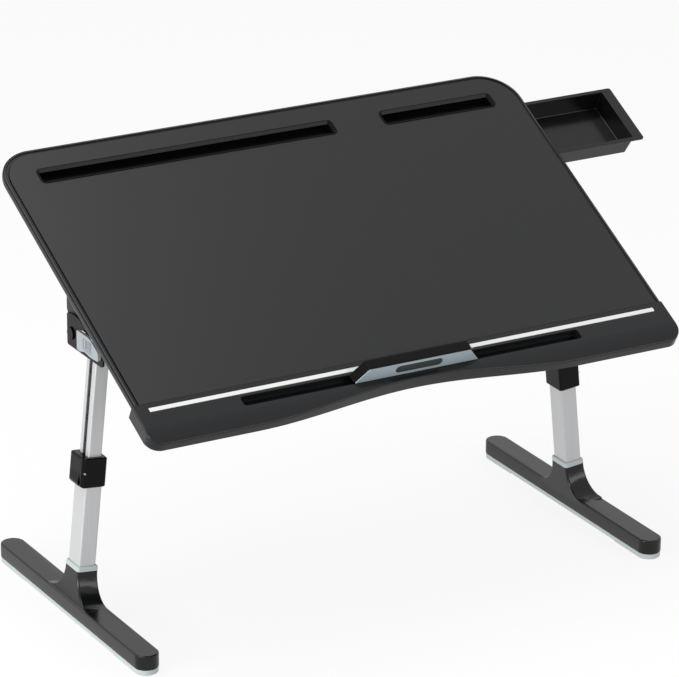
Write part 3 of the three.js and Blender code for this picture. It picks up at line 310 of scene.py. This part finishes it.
def rounded_rectangle(x0, x1, y0, y1, radius, steps=8):
    """A rectangle's outline with round corners."""
    return (arc(x1 - radius, y1 - radius, radius, 0, 90, steps)
            + arc(x0 + radius, y1 - radius, radius, 90, 180, steps)
            + arc(x0 + radius, y0 + radius, radius, 180, 270, steps)
            + arc(x1 - radius, y0 + radius, radius, 270, 360, steps))


def rounded(corners, reach, share=0.35, steps=3):
    """A closed outline whose corners are short curves, up to reach long or a share of each side."""
    points = []
    for i, corner in enumerate(corners):
        here = Vector(corner)
        before = Vector(corners[i - 1])
        after = Vector(corners[(i + 1) % len(corners)])
        start = here.lerp(before, min(share, reach / (before - here).length))
        end = here.lerp(after, min(share, reach / (after - here).length))
        for step in range(steps + 1):
            t = step / steps
            points.append(tuple(start * (1 - t) ** 2 + here * 2 * t * (1 - t) + end * t ** 2))
    return points


def lofted(rings):
    """A closed mesh through matching rings of points, with its two ends filled."""
    count = len(rings[0])
    vertices = [point for ring in rings for point in ring]
    faces = [tuple(range(count))[::-1], tuple(range((len(rings) - 1) * count, len(rings) * count))]
    for r in range(len(rings) - 1):
        for i in range(count):
            a = r * count + i
            b = r * count + (i + 1) % count
            faces.append((a, b, b + count, a + count))
    mesh = bpy.data.meshes.new("form")
    mesh.from_pydata(vertices, [], faces)
    shape = bmesh.new()
    shape.from_mesh(mesh)
    bmesh.ops.remove_doubles(shape, verts=shape.verts, dist=FORM_WELD)
    bmesh.ops.recalc_face_normals(shape, faces=shape.faces)
    shape.to_mesh(mesh)
    shape.free()
    return mesh


def stacked(levels):
    """Outlines at heights, each as (outline, z), from one end of a surface to the other."""
    return lofted([[(x, y, z) for x, y in outline] for outline, z in levels])


def box_mesh(x, y, z):
    """A box from its lowest and highest x, y and z."""
    return stacked([(rounded_rectangle(x[0], x[1], y[0], y[1], BOX_ROUND, 1), height) for height in z])


def combined(mesh, others, operation):
    """The mesh with others cut away or added, one after the other."""
    holder = bpy.data.objects.new("work", mesh)
    bpy.context.scene.collection.objects.link(holder)
    tools = []
    for other in others:
        tool = bpy.data.objects.new("tool", other)
        bpy.context.scene.collection.objects.link(tool)
        tools.append(tool)
        step = holder.modifiers.new("step", "BOOLEAN")
        step.operation = operation
        step.solver = "EXACT"
        step.object = tool
    result = bpy.data.meshes.new_from_object(holder.evaluated_get(bpy.context.evaluated_depsgraph_get()))
    for made in [holder, *tools]:
        bpy.data.objects.remove(made)
    return result


def trim_form():
    """The trim's section carried round the desktop's right side, back and left side."""
    section = rounded(TRIM_SECTION, TRIM["round"])
    radius = DESK["corner"]
    centre_x = DESK["half_width"] - radius
    centre_y = DESK["rear"] - radius
    front = DESK["front"] + GAP
    stations = [((DESK["half_width"], front), (1, 0))]
    for cx, start in ((centre_x, 0), (-centre_x, 90)):
        for outward in arc(0, 0, 1, start, start + 90, TRIM_CORNER_STEPS):
            stations.append(((cx + radius * outward[0], centre_y + radius * outward[1]), outward))
    stations.append(((-DESK["half_width"], front), (-1, 0)))
    return lofted([[(edge[0] - out[0] * inset, edge[1] - out[1] * inset, height) for inset, height in section]
                   for edge, out in stations])


def rest_front_at(x):
    """The front edge of the palm rest in plan, hollow in the middle and round at the corners."""
    radius = REST["corner"]
    past = abs(x) - (REST_SIDE - radius)
    if past > 0:
        return REST_FRONT + radius - math.sqrt(max(radius ** 2 - past ** 2, 0))
    share = min(abs(x) / REST["hollow_half"], 1)
    return REST_FRONT + REST["hollow"] * (1 + math.cos(math.pi * share)) / 2


def rest_top_at(x, y):
    """The crowned top of the palm rest, with its rounded upper edge."""
    radius = REST["corner"]
    fillet = REST["fillet"]
    dip = max(CROWN_END - y, 0) / REST["crown_reach"]
    past = abs(x) - (REST_SIDE - radius)
    if past > 0 and y < REST_FRONT + radius:
        depth = radius - math.hypot(past, REST_FRONT + radius - y)
    else:
        depth = min(REST_SIDE - abs(x), y - rest_front_at(x))
    short = fillet - min(max(depth, 0), fillet)
    return -REST["crown_drop"] * dip ** 2 - (fillet - math.sqrt(fillet ** 2 - short ** 2))


def rest_section(x):
    """The palm rest's outline at x: its top from the desktop to the front edge, and its underside."""
    fillet = REST["fillet"]
    edge = rest_front_at(x)
    inner = edge + fillet
    crown_steps = REST_STEPS["crown"]
    fillet_steps = REST_STEPS["fillet"]
    ys = [DESK["front"], (DESK["front"] + CROWN_END) / 2]
    ys += [CROWN_END + (inner - CROWN_END) * i / crown_steps for i in range(crown_steps)]
    ys += [edge + fillet * (1 - math.cos(math.radians(90 * (1 - i / fillet_steps))))
           for i in range(fillet_steps + 1)]
    points = [(x, y, rest_top_at(x, y)) for y in ys]
    low = -REST["depth"]
    foot = REST["foot"]
    points += [(x, edge, low + foot), (x, edge + foot / 3, low + foot / 3), (x, edge + foot, low)]
    points.append((x, DESK["front"], low))
    return points


def rest_stations():
    """Where along x the palm rest's sections lie: closest at its corners and round its ends."""
    radius = REST["corner"]
    corner, fillet, half = (REST_STEPS[key] for key in ("corner", "fillet", "half"))
    xs = [REST_SIDE - radius * (1 - math.sin(math.radians(90 * i / corner))) for i in range(corner)]
    xs += [REST_SIDE - REST["fillet"] * (1 - math.cos(math.radians(90 * i / fillet)))
           for i in range(fillet + 1)]
    xs += [(REST_SIDE - radius) * i / half for i in range(half)]
    xs = sorted({round(x, 3) for x in xs})
    xs = [x for i, x in enumerate(xs) if i == 0 or x - xs[i - 1] > REST_SECTION_GAP]
    return [-x for x in reversed(xs) if x > 0] + xs


def rest_form():
    """The palm rest with its ledge under the panel, the stopper's groove, the strip's slot and pockets."""
    wall = REST["wall"]
    rest = lofted([rest_section(x) for x in rest_stations()])
    ledge_side = DESK["half_width"] - TRIM["width"] - REST_LEDGE["side_inset"]
    ledge_top = REST_LEDGE["top"]
    ledge = box_mesh(
        (-ledge_side, ledge_side),
        (DESK["front"] - wall, DESK["front"] + REST_LEDGE["reach"]),
        (ledge_top - REST_LEDGE["thickness"], ledge_top))
    above = REST["fillet"]
    cuts = []
    for rear, depth in (
        (GROOVE["rear"], GROOVE["ledge_depth"]),
        (GROOVE["rear"] - GROOVE["ledge"], GROOVE["depth"]),
    ):
        outline = rounded_rectangle(-GROOVE["half"], GROOVE["half"], GROOVE_FRONT, rear, GROOVE["end"])
        cuts.append(stacked([(outline, -depth), (outline, above)]))
    strip_half = DESK["half_width"] - STRIP["side_inset"] + GAP
    strip_floor = -STRIP["sunk"] - GAP
    strip_outline = rounded_rectangle(-strip_half, strip_half, STRIP["low"] - GAP,
                                      STRIP["low"] + STRIP["width"] + GAP, STRIP["end"] + GAP, 4)
    cuts.append(stacked([(strip_outline, strip_floor), (strip_outline, above)]))
    pitch = (2 * ledge_side + REST_POCKET["rib"]) / REST_POCKET["count"]
    for i in range(REST_POCKET["count"]):
        x = i * pitch - ledge_side
        cuts.append(box_mesh(
            (x, x + pitch - REST_POCKET["rib"]),
            (GROOVE["rear"] + wall, DESK["front"] - wall),
            (-REST["depth"] - 1, strip_floor - wall)))
    return combined(combined(rest, [ledge], "UNION"), cuts, "DIFFERENCE")


def drawer_form():
    """The tray as one surface: up its outside, round the rim, down the inside."""
    extra = DRAWER["end_flange"] - DRAWER["rim"]
    edge = DRAWER["edge"]
    top = DRAWER["rim_top"]
    low = top - DRAWER["rim_thickness"]
    floor = top - DRAWER["depth"]
    rim, wall, draft = DRAWER["rim"], DRAWER["wall"], DRAWER["draft"]
    corner, rim_corner = DRAWER["corner"], DRAWER["rim_corner"]
    base = 2 * edge

    def outline(inset, more, radius):
        return rounded_rectangle(
            DRAWER["end"] - DRAWER["length"] + inset, DRAWER["end"] - inset - more,
            DRAWER["rear"] - DRAWER["width"] + inset, DRAWER["rear"] - inset, max(radius, TUB_MIN_ROUND))

    # Four steps round each edge, as how much of its radius is left across and up
    turns = [math.radians(30 * i) for i in range(4)]
    steps = [(1 - math.sin(a), 1 - math.cos(a)) for a in turns]
    levels = [
        (outline(rim - wall + draft + edge, extra, corner + wall - edge), floor - DRAWER["floor"]),
        (outline(rim - wall + draft, extra, corner + wall), floor - DRAWER["floor"] + edge),
        (outline(rim - wall, extra, corner + wall), low),
    ]
    levels += [(outline(edge * s, 0, rim_corner), low + edge * c) for s, c in steps]
    levels += [(outline(edge * c, 0, rim_corner), top - edge * s) for s, c in steps]
    levels += [(outline(rim - edge * s, extra, corner + edge * s), top - edge * c) for s, c in steps]
    levels += [(outline(rim + draft + base * c, extra, corner), floor + base * s) for s, c in steps]
    return stacked(levels)


# ---------------------------------------------------------------- dressing the nodes


def plain_name(material):
    """A material's name without the number that Blender adds to a second one."""
    return material.name.split(".")[0]


slot_names = {name: plain_name(node.material_slots[0].material) for name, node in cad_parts.items()}


def add_form(node, mesh, body, bevel=0.0):
    """Puts a finer form, drawn in the desktop's flat frame, in the place of a CAD node."""
    mesh.transform(SLOPE)
    mesh.materials.clear()
    mesh.materials.append(MATERIALS[slot_names[node]])
    form = bpy.data.objects.new(f"{node}_form", mesh)
    bpy.context.scene.collection.objects.link(form)
    if bevel:
        add_bevel(form, bevel, FORM_BEVEL_ABOVE)
    shade(form)
    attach(form, body)
    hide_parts(node)


EDGE_RADIUS = {
    "bracket": 0.5, "leg_head": 0.6, "tilt_button": 0.35, "head_boss": 0.5, "clamp_collar": 0.5,
    "latch_lever": 0.4, "stopper_body": 0.6, "stopper_face_plate": 0.2, "stopper_pad": 0.25,
    "foot_ring": 0.5, "foot_sole": 0.4, "foot_base": 0.5, "drawer_front_runner": 0.3,
    "drawer_rear_runner": 0.3, "anti_slip_strip": 0.2,
}
for node_name, node_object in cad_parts.items():
    for slot in node_object.material_slots:
        slot.material = MATERIALS[plain_name(slot.material)]
    family = node_name.removesuffix("_left").removesuffix("_right")
    if family in EDGE_RADIUS:
        soften(node_object, EDGE_RADIUS[family])
    shade(node_object)

add_form("edge_trim", trim_form(), "desktop")
add_form("wrist_rest", rest_form(), "desktop", bevel=0.35)
add_form("drawer_tray", drawer_form(), "drawer")

# ---------------------------------------------------------------- floor, light and camera

# The floor's half width in metres, the share of its white that needs no light, and its own colour
FLOOR = {"half": 6.0, "glow": 0.86, "white": 0.95}
# The even light of the world on the object, where 1 is white
SKY_LEVEL = 0.6
# Each lamp's size in metres, power in watts, place, and the point that it faces, in metres
LAMPS = {
    "key": ((1.4, 0.6), 36, (-2.3, -0.5, 0.45), (0, 0, 0.25)),
    "top": ((1.4, 1.2), 16, (-0.5, 0.3, 2.0), (0, 0, 0.3)),
    "front": ((1.8, 0.6), 13, (1.1, -2.1, 0.75), (0, 0, 0.2)),
}
# Angles in degrees, the farthest distance seen in metres, and the place from the desktop frame's origin
CAMERA = {"azimuth": 29.422, "elevation": 20.951, "roll": 0.303, "lens": 231.55, "sensor": 36, "far": 100}
CAMERA_PLACE = (-2372.5, -4040.7, 1820.1)


def seen_ray(tree):
    """1 for a ray from the camera, a glossy one or one through a clear surface, and 0 for any other."""
    path = tree.nodes.new("ShaderNodeLightPath")
    seen = path.outputs["Is Camera Ray"]
    for kind in ("Is Glossy Ray", "Is Transmission Ray"):
        most = tree.nodes.new("ShaderNodeMath")
        most.operation = "MAXIMUM"
        tree.links.new(seen, most.inputs[0])
        tree.links.new(path.outputs[kind], most.inputs[1])
        seen = most.outputs["Value"]
    return seen


def mixed(tree, factor, first, second):
    """The first shader where the factor is 0 and the second where it is 1."""
    mix = tree.nodes.new("ShaderNodeMixShader")
    if isinstance(factor, float):
        mix.inputs["Fac"].default_value = factor
    else:
        tree.links.new(factor, mix.inputs["Fac"])
    tree.links.new(first, mix.inputs[1])
    tree.links.new(second, mix.inputs[2])
    return mix.outputs["Shader"]


def make_world():
    """White where it is seen, and an even, plain light on the object."""
    world = bpy.data.worlds.new("studio")
    bpy.context.scene.world = world
    world.use_nodes = True
    tree = world.node_tree
    tree.nodes.clear()
    output = tree.nodes.new("ShaderNodeOutputWorld")
    soft = tree.nodes.new("ShaderNodeBackground")
    soft.inputs["Color"].default_value = (SKY_LEVEL,) * 3 + (1,)
    white = tree.nodes.new("ShaderNodeBackground")
    white.inputs["Color"].default_value = (1, 1, 1, 1)
    surface = mixed(tree, seen_ray(tree), soft.outputs["Background"], white.outputs["Background"])
    tree.links.new(surface, output.inputs["Surface"])


def make_floor():
    """A white floor that keeps the object's shadow, and that other light passes through."""
    mesh = bpy.data.meshes.new("floor")
    half = FLOOR["half"]
    corners = [(-half, -half, 0), (half, -half, 0), (half, half, 0), (-half, half, 0)]
    mesh.from_pydata(corners, [], [(0, 1, 2, 3)])
    floor = bpy.data.objects.new("floor", mesh)
    bpy.context.scene.collection.objects.link(floor)
    material = bpy.data.materials.new("floor_white")
    material.use_nodes = True
    tree = material.node_tree
    tree.nodes.clear()
    output = tree.nodes.new("ShaderNodeOutputMaterial")
    clear = tree.nodes.new("ShaderNodeBsdfTransparent")
    white = tree.nodes.new("ShaderNodeBsdfDiffuse")
    white.inputs["Color"].default_value = (FLOOR["white"],) * 3 + (1,)
    glow = tree.nodes.new("ShaderNodeEmission")
    seen = mixed(tree, FLOOR["glow"], white.outputs["BSDF"], glow.outputs["Emission"])
    surface = mixed(tree, seen_ray(tree), clear.outputs["BSDF"], seen)
    tree.links.new(surface, output.inputs["Surface"])
    mesh.materials.append(material)


def make_camera():
    data = bpy.data.cameras.new("camera")
    data.lens = CAMERA["lens"]
    data.sensor_width = CAMERA["sensor"]
    data.clip_end = CAMERA["far"]
    camera = bpy.data.objects.new("camera", data)
    camera.matrix_world = (
        Matrix.Translation(SLOPE_ORIGIN + Vector(CAMERA_PLACE) * MM)
        @ Matrix.Rotation(math.radians(-CAMERA["azimuth"]), 4, "Z")
        @ Matrix.Rotation(math.radians(90 - CAMERA["elevation"]), 4, "X")
        @ Matrix.Rotation(math.radians(CAMERA["roll"]), 4, "Z"))
    bpy.context.scene.collection.objects.link(camera)
    bpy.context.scene.camera = camera


def add_lamp(name, size, power, place, target):
    lamp = bpy.data.lights.new(name, "AREA")
    lamp.shape = "RECTANGLE"
    lamp.size, lamp.size_y = size
    lamp.energy = power
    holder = bpy.data.objects.new(name, lamp)
    holder.location = place
    holder.rotation_euler = (Vector(target) - Vector(place)).to_track_quat("-Z", "Y").to_euler()
    bpy.context.scene.collection.objects.link(holder)


make_world()
make_floor()
make_camera()
for lamp_name, lamp_values in LAMPS.items():
    add_lamp(lamp_name, *lamp_values)
bpy.context.scene.view_settings.view_transform = "Standard"
